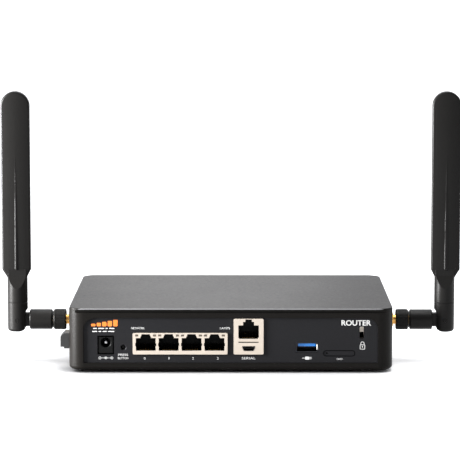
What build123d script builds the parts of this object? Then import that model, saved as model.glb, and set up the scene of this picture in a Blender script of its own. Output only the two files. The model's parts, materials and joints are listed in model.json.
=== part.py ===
from build123d import *
import math
import os

# Wireless router: a flat two-part case with a recessed socket panel along its front,
# and a hinged paddle antenna screwed to each side.
# Millimetres. +X runs to the right along the socket panel, +Y to the back, +Z up.
# The origin is on the surface that the feet stand on, under the middle of the case.

os.makedirs("parts", exist_ok=True)

# ---- Case ----
CASE_W = 200.0
CASE_D = 150.0
CASE_H = 38.5
CORNER_R = 9.0
FOOT_H = 1.5
WALL = 2.5
FLOOR = 2.0
BOTTOM_EDGE_R = 2.4
LID_EDGE_H = 0.9
LID_EDGE_R = 0.5
LID_SEAM_H = 0.2
LID_SEAM_DEPTH = 0.6
SHADOW_LINE_Z = 37.2
SHADOW_LINE_DEPTH = 1.4
LID_PLATE_H = 1.4
LID_RIM_H = 3.0
LID_RIM_T = 1.3
LID_RIM_GAP = 0.2
LID_RIM_OPEN_X = 95.0
LID_RIM_OPEN_D = 6.0
CASE_TOP = FOOT_H + CASE_H
TRAY_TOP = CASE_TOP - LID_EDGE_H - LID_SEAM_H
TRAY_INSIDE = FOOT_H + FLOOR
FRONT_Y = -CASE_D / 2
BACK_Y = CASE_D / 2
SIDE_X = CASE_W / 2
INNER_FRONT_Y = FRONT_Y + WALL
INNER_WALL_X = SIDE_X - WALL

# ---- Status window in the back wall ----
LENS_X = (-12.0, 12.0)
LENS_Z = (24.0, 27.0)
LENS_T = 3.3
LENS_SETBACK = 0.2
LENS_GAP = 0.1

# ---- Feet and the screws that hold the lid ----
FOOT_X = 82.0
FOOT_Y = 57.0
FOOT_R = 6.0
FOOT_POCKET = 0.5
FOOT_GAP = 0.1
FOOT_BEVEL = 0.4
LID_SCREW_X = SIDE_X - CORNER_R
LID_SCREW_Y = BACK_Y - CORNER_R
LID_SCREW_HEAD_Z = FOOT_H + 0.5
LID_SCREW_TIP_Z = 18.0
LID_POST_R = 3.5
LID_BOSS_R = 4.5
LID_BOSS_TOP = 8.0
SCREW_HEAD_R = 2.8
SCREW_HEAD_H = 2.0
SCREW_R = 1.25
SCREW_HOLE_R = 1.6
SCREW_POCKET_R = 3.1
SCREW_SOCKET_R = 1.0
SCREW_SOCKET_H = 1.1

# ---- Circuit board ----
BOARD_T = 1.6
BOARD_TOP = 11.5
BOARD_BOTTOM = BOARD_TOP - BOARD_T
BOARD_W = 172.0
BOARD_FRONT_Y = -70.2
BOARD_BACK_Y = 68.0
BOARD_SCREW_X = 81.0
BOARD_SCREW_FRONT_Y = -52.0
BOARD_SCREW_BACK_Y = 58.0
BOARD_SCREW_TIP_Z = 5.0
BOARD_POST_HOLE_Z = 4.5

# ---- Processor and its heat sink ----
CHIP_X = -8.0
CHIP_Y = 4.0
CHIP_SIZE = 24.0
CHIP_BEVEL = 0.4
CHIP_TOP = BOARD_TOP + 2.0
PAD_SIZE = 22.0
PAD_TOP = CHIP_TOP + 0.5
SINK_W = 66.0
SINK_D = 58.0
SINK_BASE_TOP = PAD_TOP + 3.0
SINK_TOP = 33.0
FIN_COUNT = 10
FIN_T = 1.6

# ---- Smaller parts on the board ----
MEMORY_PLACES = ((-58.0, -6.0), (-58.0, 10.0), (-58.0, 26.0))
MEMORY_W = 12.0
MEMORY_D = 10.0
MEMORY_H = 1.2
CAPACITOR_PLACES = ((-78.0, -30.0), (-68.0, -30.0), (-58.0, -30.0), (-78.0, 10.0))
CAPACITOR_R = 4.0
CAPACITOR_TOP = BOARD_TOP + 9.0
CAPACITOR_EDGE_R = 0.6
MODEM_X = (39.0, 79.0)
MODEM_Y = (16.0, 46.0)
MODEM_Z = (15.0, 15.8)
MODEM_COVER_X = (44.0, 70.0)
MODEM_COVER_Y = (18.0, 44.0)
MODEM_COVER_TOP = 17.6
MODEM_SOCKET_X = (33.0, 40.5)
MODEM_SOCKET_Y = (15.0, 47.0)
MODEM_SOCKET_TOP = 18.0
SHIELD_X = (36.0, 62.0)
SHIELD_Y = (-34.0, -10.0)
SHIELD_TOP = 15.0
SHIELD_SHEET = 0.3
SHIELD_CORNER_R = 1.0

# ---- Socket panel, set back in a window of the front wall ----
PANEL_W = 181.5
PANEL_BOTTOM = 6.1
PANEL_TOP = 34.2
PANEL_TOP_R = 7.5
PANEL_BOTTOM_R = 1.5
PANEL_SETBACK = 0.8
PANEL_GAP = 0.15
PANEL_FLANGE = 2.0
PANEL_FLANGE_T = 1.2
PANEL_Y = FRONT_Y + PANEL_SETBACK
PANEL_BACK_Y = INNER_FRONT_Y + PANEL_FLANGE_T
PANEL_MID_Z = (PANEL_BOTTOM + PANEL_TOP) / 2
PANEL_H = PANEL_TOP - PANEL_BOTTOM
SOCKET_GAP = 0.2
SOCKET_CORNER_R = 1.0
SOCKET_FACE_Y = FRONT_Y + 0.1
SHEET = 0.4
INSERT_Y = SOCKET_FACE_Y + SHEET

# ---- Row of four network sockets ----
NET_X = (-52.3, -38.2, -24.1, -10.0)
NET_BLOCK_X = (-60.35, -1.95)
NET_BLOCK_Z = (BOARD_TOP, 24.8)
NET_BACK_Y = SOCKET_FACE_Y + 21.0
PLUG_W = 12.2
PLUG_BOTTOM = 13.8
PLUG_TOP = 21.7
PLUG_DEPTH = 13.0
LATCH_BOTTOM_W = 6.9
LATCH_TOP_W = 4.8
LATCH_TOP = 24.1
SPRING_NOTCH_W = 13.0
SPRING_NOTCH_H = 1.8
SPRING_NOTCH_Z = 17.6
LAMP_OFFSET_X = 5.5
LAMP_Z = 23.3
LAMP_W = 2.0
LAMP_H = 1.3
LAMP_DEPTH = 8.0
LAMP_PROUD = 0.2

# ---- Console block: one network-style socket over one micro socket ----
CONSOLE_X = 11.0
CONSOLE_BLOCK_X = (1.8, 20.2)
CONSOLE_BLOCK_Z = (BOARD_TOP, 33.7)
CONSOLE_BACK_Y = SOCKET_FACE_Y + 20.0
CONSOLE_PLUG_W = 12.6
CONSOLE_PLUG_BOTTOM = 21.2
CONSOLE_PLUG_TOP = 29.6
CONSOLE_PLUG_BEVEL = 0.8
CONSOLE_STEP_W = 6.8
CONSOLE_STEP_TOP = 31.8
CONSOLE_LATCH_W = 4.0
CONSOLE_LATCH_TOP = 33.3
CONSOLE_BEAD_Z = 19.1
CONSOLE_BEAD_W = 12.6
CONSOLE_BEAD_H = 0.7
MICRO_Z = 15.2
MICRO_W = 7.8
MICRO_H = 3.0
MICRO_UPRIGHT = 1.0
MICRO_SLOPE = 0.9
MICRO_SHEET = 0.3
MICRO_DEPTH = 5.5
MICRO_ROOM = 6.5
MICRO_FACE_Y = SOCKET_FACE_Y - 0.1
MICRO_BACK_Y = MICRO_FACE_Y + MICRO_DEPTH - MICRO_SHEET
MICRO_TONGUE_X = (9.1, 12.9)
MICRO_TONGUE_Z = (15.1, 15.7)
MICRO_TONGUE_L = 4.4

# ---- Contacts of the network-style sockets ----
CONTACT_PITCH = 1.02
CONTACT_COUNT = 8
CONTACT_W = 0.45
CONTACT_T = 0.35
CONTACT_RISE = 1.9
CONTACT_FRONT_Y = SOCKET_FACE_Y + 3.0
CONTACT_BEND_Y = SOCKET_FACE_Y + 4.5
CONTACT_BACK_Y = SOCKET_FACE_Y + 12.5

# ---- Large flat data socket ----
USB_X = (40.35, 53.45)
USB_Z = (12.8, 18.7)
USB_FACE_Y = PANEL_Y + 0.6
USB_BACK_Y = USB_FACE_Y + 13.0
USB_BACK_T = 1.5
USB_TONGUE_X = (41.5, 52.3)
USB_TONGUE_Y = (USB_FACE_Y + 0.6, USB_BACK_Y - USB_BACK_T)
USB_TONGUE_Z = (16.35, 18.05)
USB_CONTACT_XS = (43.4, 45.7, 48.1, 50.4)
USB_CONTACT_W = 1.0
USB_CONTACT_T = 0.25
USB_CONTACT_INSET = 1.0

# ---- Power inlet ----
POWER_X = -76.95
POWER_W = 9.9
POWER_BODY_X = (POWER_X - POWER_W / 2, POWER_X + POWER_W / 2)
POWER_TOP = 22.9
POWER_FACE_Y = PANEL_Y + 0.25
POWER_STEP_Y = POWER_FACE_Y + 2.5
POWER_STEP = 0.75
POWER_BACK_Y = POWER_FACE_Y + 14.0
POWER_HOLE_Z = 18.7
POWER_HOLE_R = 3.1
POWER_HOLE_BEVEL = 0.25
POWER_HOLE_BACK_Y = POWER_FACE_Y + 9.5
POWER_PIN_FRONT_Y = POWER_FACE_Y + 1.0
POWER_PIN_R = 1.05
POWER_PIN_NOSE_R = 0.7

# ---- Reset button in its pinhole ----
RESET_X = -66.1
RESET_Z = 15.7
RESET_HOLE_R = 1.5
RESET_R = 1.2
RESET_BEVEL = 0.3
RESET_RIM_BEVEL = 0.4
RESET_FACE_Y = PANEL_Y + 1.8
RESET_BACK_Y = RESET_FACE_Y + 5.6
RESET_SWITCH_X = (RESET_X - 3.0, RESET_X + 3.0)
RESET_SWITCH_Y = (-68.2, -63.2)
RESET_SWITCH_TOP = 19.0
RESET_SWITCH_HOLE = 3.0

# ---- Card tray and the reader that it slides into ----
TRAY_HEAD_W = 19.2
TRAY_HEAD_H = 3.2
TRAY_HEAD_T = 1.5
TRAY_HEAD_EDGE_R = 0.25
TRAY_FACE_Y = PANEL_Y + 0.1
TRAY_X = 66.8
TRAY_Z = 12.15
TRAY_GAP = 0.25
CARD_PLATE_X = (58.5, 75.1)
CARD_PLATE_Y = (TRAY_FACE_Y + TRAY_HEAD_T, TRAY_FACE_Y + TRAY_HEAD_T + 22.0)
CARD_PLATE_Z = (12.0, 13.0)
CARD_X = (60.6, 73.0)
CARD_Y = (CARD_PLATE_Y[1] - 16.7, CARD_PLATE_Y[1] - 1.5)
CARD_BOTTOM = 12.2
CARD_LEDGE = 0.8
EJECT_X = 59.2
EJECT_R = 0.55
READER_X = (57.2, 76.4)
READER_Y = (PANEL_BACK_Y + 0.2, -47.0)
READER_TOP = 14.2
READER_STOP_T = 1.0
READER_SLOT_Z = (11.85, 13.35)

# ---- Lock slot ----
LOCK_X = (79.3, 82.0)
LOCK_Z = (21.2, 28.7)
LOCK_CORNER_R = 0.6
LOCK_PLATE_X = (74.65, 86.65)
LOCK_PLATE_Z = (18.5, 31.5)
LOCK_PLATE_T = 1.6
LOCK_PLATE_OPEN_TOP = 25.1

# ---- Clip for the power lead, on the left side ----
CLIP_ROOT_X = (-103.3, -SIDE_X)
CLIP_ROOT_Y = (-67.0, -53.0)
CLIP_ROOT_Z = (13.9, 23.4)
CLIP_TIP_X = (-105.5, -103.3)
CLIP_TIP_Y = (-66.0, -54.0)
CLIP_TIP_Z = (14.7, 22.6)
CLIP_BEVEL = 1.5
CLIP_CHANNEL_R = 1.7
CLIP_CHANNEL_Y = -60.0

# ---- Coaxial jacks in the side walls ----
AERIAL_Y = -30.0
AERIAL_Z = 26.4
JACK_THREAD_R = 3.175
JACK_HOLE_R = 3.275
JACK_RIM_X = 109.0
JACK_BACK_X = 87.0
JACK_BACK_R = 2.6
JACK_BORE_X = 96.0
JACK_BORE_R = 2.3
JACK_FLANGE_T = 2.5
DIELECTRIC_END_X = 107.0
DIELECTRIC_HOLE_L = 5.0
DIELECTRIC_HOLE_R = 0.58
WASHER_R = 5.2
JACK_NUT_FLATS = 8.0
JACK_NUT_X = 100.5
JACK_NUT_T = 2.1

# ---- Antenna leads inside the case ----
LEAD_R = 0.7
LEAD_ARC_SHARE = 0.45
LEAD_BENDS = {"right": ((58.0, 40.0, 18.3), (70.0, 36.0, 20.5), (78.0, 16.0, 24.0),
                        (74.0, -14.0, 27.0), (76.0, -30.0, AERIAL_Z), (JACK_BACK_X, AERIAL_Y, AERIAL_Z)),
              "left": ((50.0, 40.0, 18.3), (30.0, 50.0, 22.0), (-10.0, 54.0, 24.0),
                       (-50.0, 46.0, 25.0), (-72.0, 20.0, 26.0), (-70.0, -10.0, 27.0),
                       (-74.0, -30.0, AERIAL_Z), (-JACK_BACK_X, AERIAL_Y, AERIAL_Z))}

# ---- Antennas. The right one is drawn and mirrored. ----
NUT_START_X = 104.3
NUT_END_X = 112.1
NUT_R = 6.5
NUT_BEVEL = 0.6
NUT_BORE_R = 3.25
NUT_SHOULDER_X = 109.3
NUT_CAVITY_END_X = 111.3
NUT_CAVITY_R = 4.7
FLUTE_COUNT = 40
FLUTE_R = 0.35
FLUTE_CENTRE_R = 6.62
FLUTE_MARGIN = 1.0
STEM_START_X = DIELECTRIC_END_X + 0.05
STEM_R = 2.82
STEM_NOSE_R = 2.22
STEM_FLANGE_X = (109.55, 111.05)
STEM_FLANGE_R = 4.5
STEM_HEAD_X = (118.5, 120.0)
STEM_HEAD_R = 3.7
STEM_BORE_R = 1.5
CENTRE_PIN_START_X = 103.2
CENTRE_PIN_TIP_R = 0.3
CENTRE_PIN_TAPER = 0.3
CENTRE_PIN_R = 0.5
RUNNING = 0.08
PIN_X = 135.0
BARREL_REACH = 7.7
BARREL_R = 6.35
BARREL_EDGE_R = 0.8
BARREL_COLLAR_R = 5.1
BARREL_COLLAR_X = 112.4
BARREL_START_X = 113.0
BARREL_END_X = PIN_X - BARREL_REACH
HEAD_ROOM_X = (118.3, 120.4)
HEAD_ROOM_R = 3.85
TONGUE_R = 4.2
TONGUE_T = 4.8
TONGUE_ROOT = 2.0
HINGE_PIN_R = 1.2
HINGE_PIN_SUNK = 0.15
HINGE_PIN_BEVEL = 0.25
HINGE_HOLE_R = 1.25
TUBE_R = 6.4
KNUCKLE_REACH = 7.45
KNUCKLE_BOTTOM_R = 2.0
KNUCKLE_FLAT = 4.9
KNUCKLE_SLOPE_Z = (31.4, 33.4)
KNUCKLE_SLOPE_OUT = 6.5
SLOT_SIDE_GAP = 0.3
SEAM_Z = 37.5
SEAM_BEVEL = 0.25
SPIGOT_R = 4.5
SPIGOT_H = 5.5
CUT_MARGIN = 1.0
BLADE_X = PIN_X + 0.4
BLADE_W = 18.2
BLADE_TIP_Z = 170.8
BLADE_MID_T = 6.4
BLADE_EDGE_T = 4.4
BLADE_EDGE_R = 1.4
HEEL_Z = 46.6
BLADE_START_Z = 49.6
BLADE_START_HALF_W = 5.6
SHOULDER_Z = 52.7
SHOULDER_HALF_W = 5.8
HEEL_SLOPE_TOP_Z = 54.6
HEEL_SLOPE_SUNK = 0.1
FULL_WIDTH_Z = 58.4
RIB_R = 1.1
RIB_TOP_R = 0.5
RIB_PROUD = 0.55
RIB_BOTTOM_Z = 58.9
RIB_TOP_Z = 142.0
RADIATOR_W = 12.4
RADIATOR_T = 1.0
RADIATOR_Z = (60.4, 158.4)
RADIATOR_GAP = 0.3
RADIATOR_ROOM_ABOVE = 1.0


def keep(piece, name):
    """Label one finished sub-part and write its STEP file."""
    piece.part.label = name
    export_step(piece.part, f"parts/{name}.step")


def keep_pair(piece, name):
    """Write the right-hand sub-part and its mirror image on the left."""
    piece.part.label = f"right_{name}"
    export_step(piece.part, f"parts/right_{name}.step")
    left = mirror(piece.part, about=Plane.YZ)
    left.label = f"left_{name}"
    export_step(left, f"parts/left_{name}.step")


def facing_front(y):
    """Plane at depth y that faces the front: its x is the case's X and its y is Z."""
    return Plane.XZ.offset(-y)


def shrunk(limits, by):
    """A pair of limits moved towards each other, or apart where by is negative."""
    return (limits[0] + by, limits[1] - by)


def about(middle, width):
    """The pair of limits that lie half a width each side of a middle."""
    return (middle - width / 2, middle + width / 2)


def block(x_range, y_range, z_range, mode=Mode.ADD):
    """Add to or cut from the open part a block given by its two limits along each axis."""
    with Locations((sum(x_range) / 2, sum(y_range) / 2, sum(z_range) / 2)):
        Box(x_range[1] - x_range[0], y_range[1] - y_range[0], z_range[1] - z_range[0], mode=mode)


def oblong(x_range, z_range):
    """Rectangle in the open sketch, given by its limits across and up."""
    with Locations((sum(x_range) / 2, sum(z_range) / 2)):
        Rectangle(x_range[1] - x_range[0], z_range[1] - z_range[0])


def posts(places, radius, z_range, mode=Mode.ADD):
    """Add to or cut from the open part an upright cylinder at each (x, y) place."""
    with BuildSketch(Plane.XY.offset(z_range[0])) as outline:
        with Locations(*places):
            Circle(radius)
    extrude(outline.sketch, amount=z_range[1] - z_range[0], mode=mode)


def rod(x, z, radius, y_range, mode=Mode.ADD):
    """Add to or cut from the open part a cylinder that runs from front to back."""
    with BuildSketch(facing_front(y_range[0])) as outline:
        with Locations((x, z)):
            Circle(radius)
    extrude(outline.sketch, amount=y_range[0] - y_range[1], mode=mode)


def four_places(half_x, front_y, back_y):
    """Four (x, y) places, the same on the left and the right."""
    return [(x, y) for x in (-half_x, half_x) for y in (front_y, back_y)]


foot_places = four_places(FOOT_X, -FOOT_Y, FOOT_Y)
lid_screw_places = four_places(LID_SCREW_X, -LID_SCREW_Y, LID_SCREW_Y)
board_screw_places = four_places(BOARD_SCREW_X, BOARD_SCREW_FRONT_Y, BOARD_SCREW_BACK_Y)


# ======== Case ========

def case_outline(inset):
    """Outline of the case seen from above, smaller all round by inset."""
    with BuildSketch(mode=Mode.PRIVATE) as outline:
        RectangleRounded(CASE_W - 2 * inset, CASE_D - 2 * inset, CORNER_R - inset)
    return outline.sketch


def panel_outline(grow):
    """Outline of the socket panel, larger all round by grow."""
    with BuildSketch(mode=Mode.PRIVATE) as outline:
        Rectangle(PANEL_W + 2 * grow, PANEL_H + 2 * grow)
        rows = outline.vertices().group_by(Axis.Y)
        fillet(rows[-1], PANEL_TOP_R + grow)
        fillet(rows[0], PANEL_BOTTOM_R + grow)
    return outline.sketch


with BuildPart() as base_tray:
    with BuildSketch(Plane.XY.offset(FOOT_H)):
        add(case_outline(0))
    extrude(amount=TRAY_TOP - FOOT_H)
    fillet(base_tray.faces().sort_by(Axis.Z)[0].edges(), BOTTOM_EDGE_R)
    with BuildSketch(Plane.XY.offset(TRAY_INSIDE)):
        add(case_outline(WALL))
    extrude(amount=TRAY_TOP - TRAY_INSIDE, mode=Mode.SUBTRACT)
    posts(board_screw_places, LID_POST_R, (TRAY_INSIDE, BOARD_BOTTOM))
    posts(board_screw_places, SCREW_R, (BOARD_POST_HOLE_Z, BOARD_BOTTOM), mode=Mode.SUBTRACT)
    posts(lid_screw_places, LID_BOSS_R, (TRAY_INSIDE, LID_BOSS_TOP))
    posts(lid_screw_places, SCREW_POCKET_R, (FOOT_H, LID_SCREW_HEAD_Z + SCREW_HEAD_H), mode=Mode.SUBTRACT)
    posts(lid_screw_places, SCREW_HOLE_R, (FOOT_H, LID_BOSS_TOP), mode=Mode.SUBTRACT)
    posts(foot_places, FOOT_R + FOOT_GAP, (FOOT_H, FOOT_H + FOOT_POCKET), mode=Mode.SUBTRACT)
    # window for the socket panel, and a seat for its flange where the wall's inner corners curve
    with BuildSketch(facing_front(FRONT_Y)):
        with Locations((0, PANEL_MID_Z)):
            add(panel_outline(0))
    extrude(amount=-WALL, mode=Mode.SUBTRACT)
    with BuildSketch(facing_front(INNER_FRONT_Y)):
        with Locations((0, PANEL_MID_Z)):
            add(panel_outline(PANEL_FLANGE))
    extrude(amount=-PANEL_FLANGE_T, mode=Mode.SUBTRACT)
    # holes for the antenna jacks, and the status window
    with BuildSketch(Plane.YZ.offset(-SIDE_X)):
        with Locations((AERIAL_Y, AERIAL_Z)):
            Circle(JACK_HOLE_R)
    extrude(amount=CASE_W, mode=Mode.SUBTRACT)
    block(LENS_X, (BACK_Y - WALL, BACK_Y), LENS_Z, mode=Mode.SUBTRACT)
    # shadow line along the front, which runs out where the corners curve away
    block((-SIDE_X, SIDE_X), (FRONT_Y, FRONT_Y + SHADOW_LINE_DEPTH), (SHADOW_LINE_Z, TRAY_TOP),
          mode=Mode.SUBTRACT)
keep(base_tray, "base_tray")

with BuildPart() as top_cover:
    with BuildSketch(Plane.XY.offset(CASE_TOP - LID_EDGE_H)):
        add(case_outline(0))
    extrude(amount=LID_EDGE_H)
    fillet(top_cover.faces().sort_by(Axis.Z)[-1].edges(), LID_EDGE_R)
    with BuildSketch(Plane.XY.offset(TRAY_TOP)):
        add(case_outline(LID_SEAM_DEPTH))
    extrude(amount=LID_SEAM_H)
    # rim that drops inside the tray wall, open behind the socket panel
    with BuildSketch(Plane.XY.offset(TRAY_TOP - LID_RIM_H)):
        add(case_outline(WALL + LID_RIM_GAP))
        add(case_outline(WALL + LID_RIM_GAP + LID_RIM_T), mode=Mode.SUBTRACT)
    extrude(amount=LID_RIM_H)
    block((-LID_RIM_OPEN_X, LID_RIM_OPEN_X), (FRONT_Y, FRONT_Y + LID_RIM_OPEN_D),
          (TRAY_TOP - LID_RIM_H, TRAY_TOP), mode=Mode.SUBTRACT)
    with BuildSketch(Plane.XY.offset(TRAY_TOP - LID_PLATE_H)):
        add(case_outline(WALL + LID_RIM_GAP))
    extrude(amount=LID_PLATE_H)
    # posts that take the screws from below
    posts(lid_screw_places, LID_POST_R, (LID_BOSS_TOP, TRAY_TOP))
    posts(lid_screw_places, SCREW_R, (LID_BOSS_TOP, TRAY_TOP), mode=Mode.SUBTRACT)
keep(top_cover, "top_cover")

with BuildPart() as front_panel:
    with BuildSketch(facing_front(PANEL_Y)):
        with Locations((0, PANEL_MID_Z)):
            add(panel_outline(-PANEL_GAP))
    extrude(amount=PANEL_Y - INNER_FRONT_Y)
    with BuildSketch(facing_front(INNER_FRONT_Y)):
        with Locations((0, PANEL_MID_Z)):
            add(panel_outline(PANEL_FLANGE))
    extrude(amount=-PANEL_FLANGE_T)
    with BuildSketch(facing_front(PANEL_Y)):
        for x_range, z_range in ((NET_BLOCK_X, NET_BLOCK_Z), (CONSOLE_BLOCK_X, CONSOLE_BLOCK_Z)):
            with Locations((sum(x_range) / 2, sum(z_range) / 2)):
                RectangleRounded(x_range[1] - x_range[0] + 2 * SOCKET_GAP,
                                 z_range[1] - z_range[0] + 2 * SOCKET_GAP, SOCKET_CORNER_R)
        oblong(shrunk(POWER_BODY_X, -SOCKET_GAP), shrunk((BOARD_TOP, POWER_TOP), -SOCKET_GAP))
        oblong(shrunk(USB_X, -SOCKET_GAP), shrunk(USB_Z, -SOCKET_GAP))
        with Locations((RESET_X, RESET_Z)):
            Circle(RESET_HOLE_R)
        with Locations((TRAY_X, TRAY_Z)):
            SlotOverall(TRAY_HEAD_W + 2 * TRAY_GAP, TRAY_HEAD_H + 2 * TRAY_GAP)
        with Locations((sum(LOCK_X) / 2, sum(LOCK_Z) / 2)):
            RectangleRounded(LOCK_X[1] - LOCK_X[0], LOCK_Z[1] - LOCK_Z[0], LOCK_CORNER_R)
    extrude(amount=PANEL_Y - PANEL_BACK_Y, mode=Mode.SUBTRACT)
    reset_rim = front_panel.faces().sort_by(Axis.Y)[0].edges().filter_by(GeomType.CIRCLE)
    chamfer(reset_rim.filter_by(lambda rim: rim.radius == RESET_HOLE_R), RESET_RIM_BEVEL)
keep(front_panel, "front_panel")

with BuildPart() as foot_pads:
    posts(foot_places, FOOT_R, (0, FOOT_H + FOOT_POCKET))
    chamfer(foot_pads.faces().group_by(Axis.Z)[0].edges(), FOOT_BEVEL)
keep(foot_pads, "foot_pads")


def make_screws(places, head_bottom, shank_z_range):
    """Group of screws with a hexagon socket in the head; places is a list of (x, y)."""
    driven_from_above = shank_z_range[0] < head_bottom
    socket_z = head_bottom + SCREW_HEAD_H if driven_from_above else head_bottom
    with BuildPart() as screws:
        posts(places, SCREW_HEAD_R, (head_bottom, head_bottom + SCREW_HEAD_H))
        posts(places, SCREW_R, shank_z_range)
        with BuildSketch(Plane.XY.offset(socket_z)):
            with Locations(*places):
                RegularPolygon(SCREW_SOCKET_R, 6)
        extrude(amount=-SCREW_SOCKET_H if driven_from_above else SCREW_SOCKET_H, mode=Mode.SUBTRACT)
    return screws


cover_screws = make_screws(lid_screw_places, LID_SCREW_HEAD_Z,
                           (LID_SCREW_HEAD_Z + SCREW_HEAD_H, LID_SCREW_TIP_Z))
keep(cover_screws, "cover_screws")

with BuildPart() as status_lens:
    block(shrunk(LENS_X, LENS_GAP), (BACK_Y - LENS_SETBACK - LENS_T, BACK_Y - LENS_SETBACK),
          shrunk(LENS_Z, LENS_GAP))
keep(status_lens, "status_lens")

# ======== Circuit board and what it carries ========

with BuildPart() as main_board:
    block((-BOARD_W / 2, BOARD_W / 2), (BOARD_FRONT_Y, BOARD_BACK_Y), (BOARD_BOTTOM, BOARD_TOP))
    posts(board_screw_places, SCREW_HOLE_R, (BOARD_BOTTOM, BOARD_TOP), mode=Mode.SUBTRACT)
keep(main_board, "main_board")

board_screws = make_screws(board_screw_places, BOARD_TOP, (BOARD_SCREW_TIP_Z, BOARD_TOP))
keep(board_screws, "board_screws")

with BuildPart() as processor:
    block(about(CHIP_X, CHIP_SIZE), about(CHIP_Y, CHIP_SIZE), (BOARD_TOP, CHIP_TOP))
    chamfer(processor.faces().sort_by(Axis.Z)[-1].edges(), CHIP_BEVEL)
keep(processor, "processor")

with BuildPart() as thermal_pad:
    block(about(CHIP_X, PAD_SIZE), about(CHIP_Y, PAD_SIZE), (CHIP_TOP, PAD_TOP))
keep(thermal_pad, "thermal_pad")

with BuildPart() as heat_sink:
    block(about(CHIP_X, SINK_W), about(CHIP_Y, SINK_D), (PAD_TOP, SINK_BASE_TOP))
    with BuildSketch(Plane.XY.offset(SINK_BASE_TOP)):
        with Locations((CHIP_X, CHIP_Y)):
            with GridLocations((SINK_W - FIN_T) / (FIN_COUNT - 1), 0, FIN_COUNT, 1):
                Rectangle(FIN_T, SINK_D)
    extrude(amount=SINK_TOP - SINK_BASE_TOP)
keep(heat_sink, "heat_sink")

with BuildPart() as memory_chips:
    for x, y in MEMORY_PLACES:
        block(about(x, MEMORY_W), about(y, MEMORY_D), (BOARD_TOP, BOARD_TOP + MEMORY_H))
keep(memory_chips, "memory_chips")

with BuildPart() as capacitors:
    posts(CAPACITOR_PLACES, CAPACITOR_R, (BOARD_TOP, CAPACITOR_TOP))
    fillet(capacitors.faces().group_by(Axis.Z)[-1].edges(), CAPACITOR_EDGE_R)
keep(capacitors, "capacitors")

with BuildPart() as modem_socket:
    block(MODEM_SOCKET_X, MODEM_SOCKET_Y, (BOARD_TOP, MODEM_SOCKET_TOP))
    block(MODEM_X, MODEM_Y, MODEM_Z, mode=Mode.SUBTRACT)
keep(modem_socket, "modem_socket")

with BuildPart() as lte_modem:
    block(MODEM_X, MODEM_Y, MODEM_Z)
    block(MODEM_COVER_X, MODEM_COVER_Y, (MODEM_Z[1], MODEM_COVER_TOP))
keep(lte_modem, "lte_modem")

with BuildPart() as shield_can:
    block(SHIELD_X, SHIELD_Y, (BOARD_TOP, SHIELD_TOP))
    fillet(shield_can.edges().filter_by(Axis.Z), SHIELD_CORNER_R)
    block(shrunk(SHIELD_X, SHIELD_SHEET), shrunk(SHIELD_Y, SHIELD_SHEET),
          (BOARD_TOP, SHIELD_TOP - SHIELD_SHEET), mode=Mode.SUBTRACT)
keep(shield_can, "shield_can")


# ======== Sockets on the front edge of the board ========

def contact_xs(middles):
    """X of every contact: a comb of CONTACT_COUNT about each socket's middle."""
    first = -(CONTACT_COUNT - 1) / 2
    return [x + (first + i) * CONTACT_PITCH for x in middles for i in range(CONTACT_COUNT)]


def make_contacts(middles, floor_z):
    """Sloping springs that rise from the floor of each socket towards its back."""
    with BuildPart() as contacts:
        with BuildSketch(*[Plane.YZ.offset(x) for x in contact_xs(middles)]):
            with BuildLine():
                Polyline((CONTACT_FRONT_Y, floor_z), (CONTACT_BEND_Y, floor_z),
                         (CONTACT_BACK_Y, floor_z + CONTACT_RISE),
                         (CONTACT_BACK_Y, floor_z + CONTACT_RISE + CONTACT_T),
                         (CONTACT_FRONT_Y, floor_z + CONTACT_T), close=True)
            make_face()
        extrude(amount=CONTACT_W / 2, both=True)
    return contacts


def net_opening():
    """Outline of one plug opening about its middle line, in X and Z."""
    with BuildSketch(mode=Mode.PRIVATE) as opening:
        oblong(about(0, PLUG_W), (PLUG_BOTTOM, PLUG_TOP))
        with BuildLine():
            Polyline((-LATCH_BOTTOM_W / 2, PLUG_TOP), (LATCH_BOTTOM_W / 2, PLUG_TOP),
                     (LATCH_TOP_W / 2, LATCH_TOP), (-LATCH_TOP_W / 2, LATCH_TOP), close=True)
        make_face()
    return opening.sketch


def jack_shell(x_range, back_y, z_range):
    """Sheet-metal shell of a socket block in the open part, open at the back."""
    block(x_range, (SOCKET_FACE_Y, back_y), z_range)
    fillet(edges(Select.ALL).filter_by(Axis.Y), SOCKET_CORNER_R - SOCKET_GAP)
    block(shrunk(x_range, SHEET), (INSERT_Y, back_y), shrunk(z_range, SHEET), mode=Mode.SUBTRACT)


lamp_places = [(x + side * LAMP_OFFSET_X, LAMP_Z) for x in NET_X for side in (-1, 1)]

with BuildPart() as ethernet_jack_shell:
    jack_shell(NET_BLOCK_X, NET_BACK_Y, NET_BLOCK_Z)
    with BuildSketch(facing_front(SOCKET_FACE_Y)):
        with Locations(*[(x, 0) for x in NET_X]):
            add(net_opening())
        with Locations(*[(x, SPRING_NOTCH_Z) for x in NET_X]):
            Rectangle(SPRING_NOTCH_W, SPRING_NOTCH_H)
        with Locations(*lamp_places):
            Rectangle(LAMP_W, LAMP_H)
    extrude(amount=-SHEET, mode=Mode.SUBTRACT)
keep(ethernet_jack_shell, "ethernet_jack_shell")

with BuildPart() as ethernet_jack_insert:
    block(shrunk(NET_BLOCK_X, SHEET), (INSERT_Y, NET_BACK_Y), shrunk(NET_BLOCK_Z, SHEET))
    with BuildSketch(facing_front(INSERT_Y)):
        with Locations(*[(x, 0) for x in NET_X]):
            add(net_opening())
    extrude(amount=-PLUG_DEPTH, mode=Mode.SUBTRACT)
    with BuildSketch(facing_front(INSERT_Y)):
        with Locations(*lamp_places):
            Rectangle(LAMP_W, LAMP_H)
    extrude(amount=-LAMP_DEPTH, mode=Mode.SUBTRACT)
keep(ethernet_jack_insert, "ethernet_jack_insert")

ethernet_contacts = make_contacts(NET_X, PLUG_BOTTOM)
keep(ethernet_contacts, "ethernet_contacts")

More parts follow.
